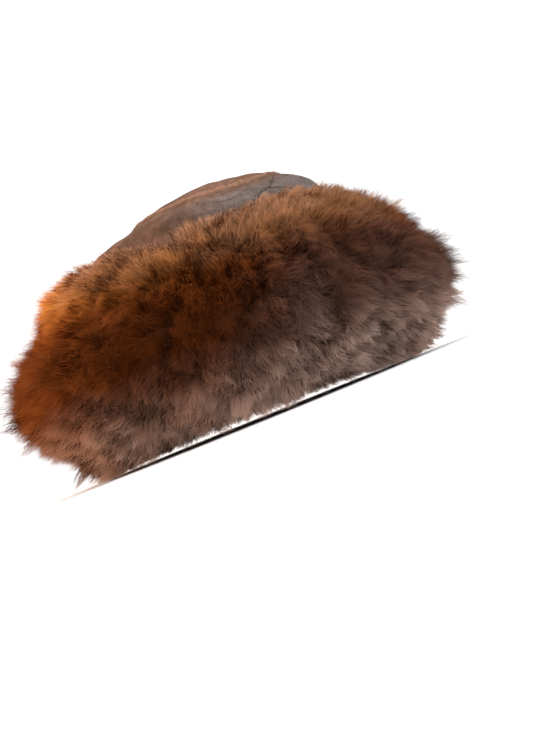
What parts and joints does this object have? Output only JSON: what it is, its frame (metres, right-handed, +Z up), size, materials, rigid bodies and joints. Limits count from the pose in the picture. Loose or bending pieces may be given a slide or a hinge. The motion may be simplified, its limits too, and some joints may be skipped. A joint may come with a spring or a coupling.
{
  "type": "pillbox hat",
  "caption": "Soft sheepskin hat with a low suede crown and a deep turned-up cuff of long brown fleece, open below for the head.",
  "frame": {"origin": "on the surface the hat rests on, under the centre of its footprint", "axes": "+Z up through the crown, +X towards the forehead, +Y towards the wearer's left ear"},
  "size_m": [0.3294, 0.2918, 0.1674],
  "materials": {
    "suede": "sueded skin side, dry and matt",
    "fleece": "long combed brown wool on the skin, matt"
  },
  "bodies": {
    "root": {"crown_top": "suede", "crown_side": "suede", "fur_cuff": "fleece"}
  },
  "joints": []
}
